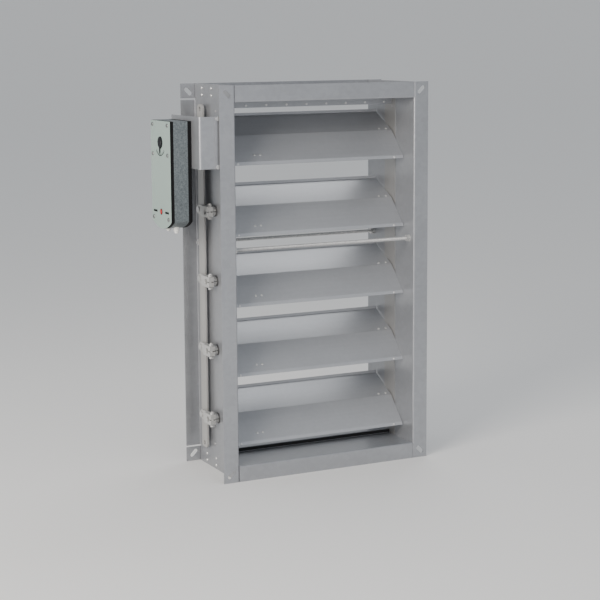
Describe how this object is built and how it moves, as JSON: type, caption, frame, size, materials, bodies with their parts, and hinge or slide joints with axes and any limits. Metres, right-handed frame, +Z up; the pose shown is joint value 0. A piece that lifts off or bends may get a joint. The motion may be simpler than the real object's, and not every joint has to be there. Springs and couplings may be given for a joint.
{
  "type": "fire damper",
  "caption": "Rectangular multi-blade fire damper with a flanged galvanised casing, folded blades on a side linkage and a spring-return actuator.",
  "frame": {"origin": "on the floor plane through the lowest flange edges, at mid-width and mid-depth of the casing", "axes": "+X along the blade axles, away from the actuator side; +Y from the front face to the rear; +Z up"},
  "size_m": [0.5865, 0.208, 0.835],
  "materials": {
    "galvanised": "galvanised, matt spangle",
    "blade_sheet": "galvanised, satin",
    "spring_steel": "rolled, satin",
    "seal_strip": "matt",
    "zinc_fastener": "zinc plated",
    "axle_steel": "turned",
    "bush": "sintered",
    "cast_crank": "die cast",
    "bar_steel": "galvanised",
    "actuator_case": "moulded, ribbed",
    "actuator_cover": "powder coat",
    "gasket": "matt",
    "gland": "moulded",
    "hub": "moulded",
    "inner_works": "plain"
  },
  "bodies": {
    "casing": {"left_jamb": "galvanised", "right_jamb": "galvanised", "head_channel": "galvanised", "sill_channel": "galvanised", "head_stop": "galvanised", "sill_stop": "galvanised", "actuator_bracket": "galvanised", "bracket_foot": "galvanised", "jamb_seals": "spring_steel", "head_seal": "seal_strip", "sill_seal": "seal_strip", "corner_rivets": "zinc_fastener", "stop_rivets": "zinc_fastener", "seal_rivets": "zinc_fastener", "tie_rods": "zinc_fastener", "tie_rod_nuts": "zinc_fastener", "tie_rod_washers": "zinc_fastener", "bracket_screws": "zinc_fastener", "cover_screws": "zinc_fastener", "axle_bushes": "bush", "actuator_body": "actuator_case", "actuator_cover": "actuator_cover", "actuator_gaskets": "gasket", "cable_glands": "gland", "actuator_back_plate": "hub", "gear_motor": "inner_works", "spring_barrel": "inner_works"},
    "blade_1": {"blade_1": "blade_sheet", "blade_rivets_1": "zinc_fastener", "left_axle_1": "axle_steel", "right_axle_1": "axle_steel", "crank_1": "cast_crank", "clamp_bolt_1": "zinc_fastener", "output_hub": "hub"},
    "blade_2": {"blade_2": "blade_sheet", "blade_rivets_2": "zinc_fastener", "left_axle_2": "axle_steel", "right_axle_2": "axle_steel", "crank_2": "cast_crank", "clamp_bolt_2": "zinc_fastener"},
    "blade_3": {"blade_3": "blade_sheet", "blade_rivets_3": "zinc_fastener", "left_axle_3": "axle_steel", "right_axle_3": "axle_steel", "crank_3": "cast_crank", "clamp_bolt_3": "zinc_fastener"},
    "blade_4": {"blade_4": "blade_sheet", "blade_rivets_4": "zinc_fastener", "left_axle_4": "axle_steel", "right_axle_4": "axle_steel", "crank_4": "cast_crank", "clamp_bolt_4": "zinc_fastener"},
    "blade_5": {"blade_5": "blade_sheet", "blade_rivets_5": "zinc_fastener", "left_axle_5": "axle_steel", "right_axle_5": "axle_steel", "crank_5": "cast_crank", "clamp_bolt_5": "zinc_fastener"},
    "link_bar": {"link_bar": "bar_steel", "link_pins": "zinc_fastener"}
  },
  "joints": [
    {"name": "blade_1_turn", "type": "hinge", "parent": "casing", "child": "blade_1", "pos_m": [0, 0, 0.7175], "axis": [1, 0, 0], "range_deg": [-37, 50.4]},
    {"name": "blade_2_turn", "type": "hinge", "parent": "casing", "child": "blade_2", "pos_m": [0, 0, 0.5675], "axis": [1, 0, 0], "range_deg": [-37, 50.4]},
    {"name": "blade_3_turn", "type": "hinge", "parent": "casing", "child": "blade_3", "pos_m": [0, 0, 0.4175], "axis": [1, 0, 0], "range_deg": [-37, 50.4]},
    {"name": "blade_4_turn", "type": "hinge", "parent": "casing", "child": "blade_4", "pos_m": [0, 0, 0.2675], "axis": [1, 0, 0], "range_deg": [-37, 50.4]},
    {"name": "blade_5_turn", "type": "hinge", "parent": "casing", "child": "blade_5", "pos_m": [0, 0, 0.1175], "axis": [1, 0, 0], "range_deg": [-37, 50.4]},
    {"name": "link_bar_swing", "type": "hinge", "parent": "blade_1", "child": "link_bar", "pos_m": [-0.2237, 0.05, 0.7175], "axis": [1, 0, 0], "range_deg": [-50.4, 37]}
  ],
  "couplings": [
    {"joint": "blade_2_turn", "follows": "blade_1_turn", "ratio": 1},
    {"joint": "blade_3_turn", "follows": "blade_1_turn", "ratio": 1},
    {"joint": "blade_4_turn", "follows": "blade_1_turn", "ratio": 1},
    {"joint": "blade_5_turn", "follows": "blade_1_turn", "ratio": 1},
    {"joint": "link_bar_swing", "follows": "blade_1_turn", "ratio": -1}
  ]
}
